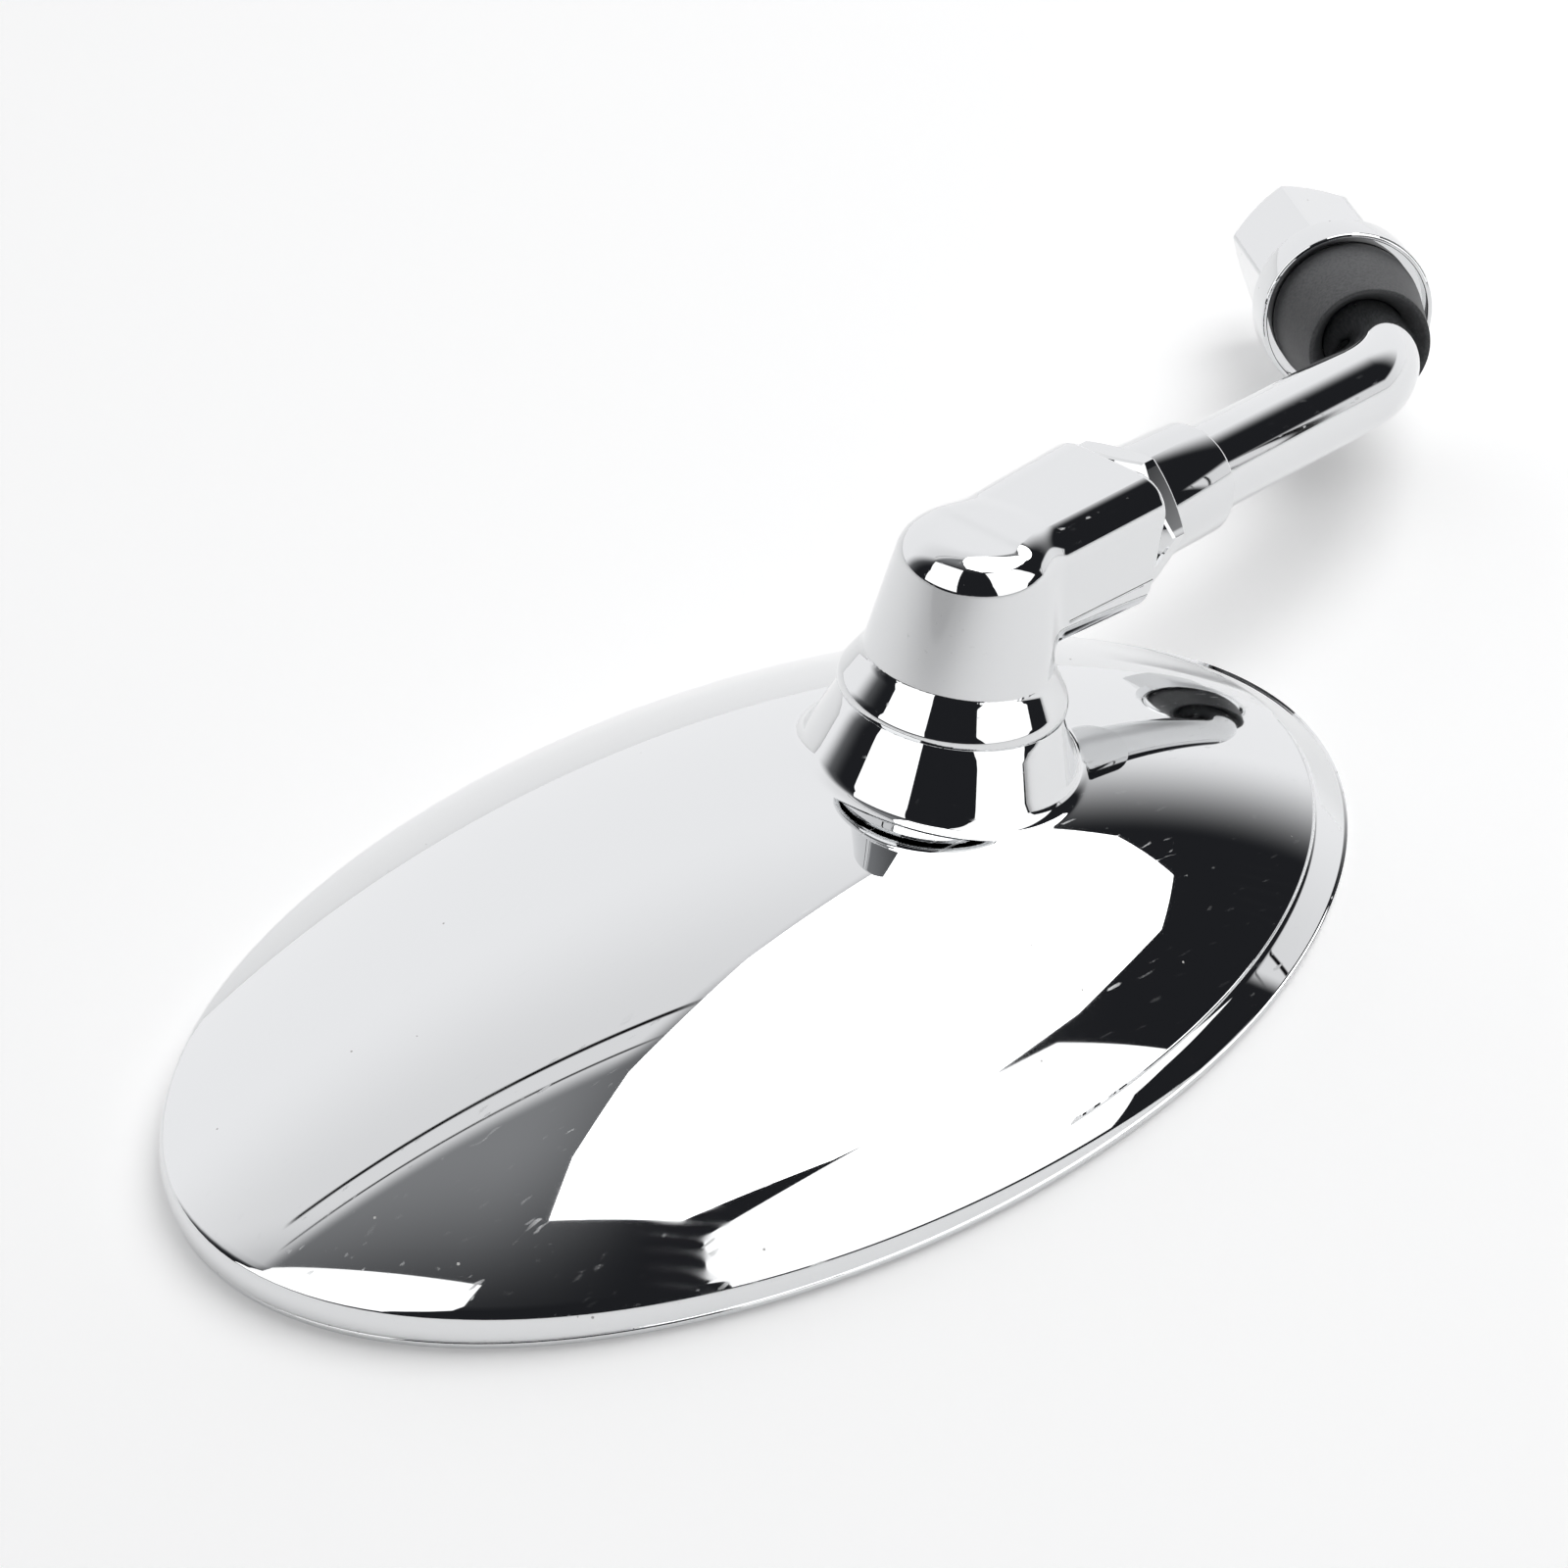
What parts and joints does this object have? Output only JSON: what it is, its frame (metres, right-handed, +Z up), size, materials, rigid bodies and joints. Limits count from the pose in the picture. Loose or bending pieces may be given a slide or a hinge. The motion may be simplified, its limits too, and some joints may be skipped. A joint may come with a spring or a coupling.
{
  "type": "motorcycle mirror",
  "caption": "Oval chromed motorcycle mirror lying face down, with a ball-jointed elbow, a bent round stem, a rubber boot and a swivelling base nut with a threaded hole.",
  "frame": {"origin": "centre of the mouth of the base nut's threaded hole", "axes": "+X along the oval's long side toward the end that the stem leaves over, +Z up from the glass through the back of the shell"},
  "size_m": [0.2225, 0.1105, 0.0463],
  "materials": {
    "plated_shell": "mirror-bright chrome plate on a die-cast shell",
    "plated_bezel": "bright chrome plate on a rolled ring",
    "silvered_glass": "polished glass silvered on its back",
    "foam": "black closed-cell foam",
    "acetal": "moulded white acetal",
    "stud_steel": "ground steel",
    "spring_steel": "blued spring steel",
    "zinc_steel": "zinc-plated pressed steel",
    "plated_casting": "bright chrome plate on a zinc casting",
    "plated_steel": "chrome plate on turned steel",
    "plated_rod": "bright chrome plate on ground steel rod",
    "boot_rubber": "matt moulded rubber"
  },
  "bodies": {
    "head": {"housing": "plated_shell", "rim_bezel": "plated_bezel", "mirror_glass": "silvered_glass", "foam_pad": "foam", "pressure_cup": "acetal", "disc_spring": "spring_steel", "retainer_plate": "zinc_steel", "plate_screws": "zinc_steel"},
    "seat": {"socket_seat": "acetal"},
    "arm": {"ball_stud": "stud_steel", "elbow": "plated_casting"},
    "rod": {"stem": "plated_rod", "lock_nut": "plated_steel", "ferrule": "plated_steel", "rubber_boot": "boot_rubber"},
    "base": {"base_nut": "plated_steel", "swivel_bush": "acetal", "circlip": "spring_steel"}
  },
  "joints": [
    {"name": "ball_turn", "type": "hinge", "parent": "head", "child": "seat", "pos_m": [-0.11428, -0.05846, 0.00568], "axis": [0.1736, 0, 0.9848], "range_deg": [-60, 60]},
    {"name": "ball_tilt", "type": "hinge", "parent": "seat", "child": "arm", "pos_m": [-0.11428, -0.05846, 0.00568], "axis": [0.1947, -0.9803, -0.0343], "range_deg": [-8, 8]},
    {"name": "stem_turn", "type": "hinge", "parent": "arm", "child": "rod", "pos_m": [-0.11078, -0.05846, 0.02547], "axis": [0.9654, 0.1977, -0.1702], "range_deg": [-90, 90]},
    {"name": "base_swivel", "type": "hinge", "parent": "rod", "child": "base", "pos_m": [-0.02564, -0.04103, 0.01046], "axis": [0.518, 0.8289, -0.2113], "continuous": true}
  ]
}
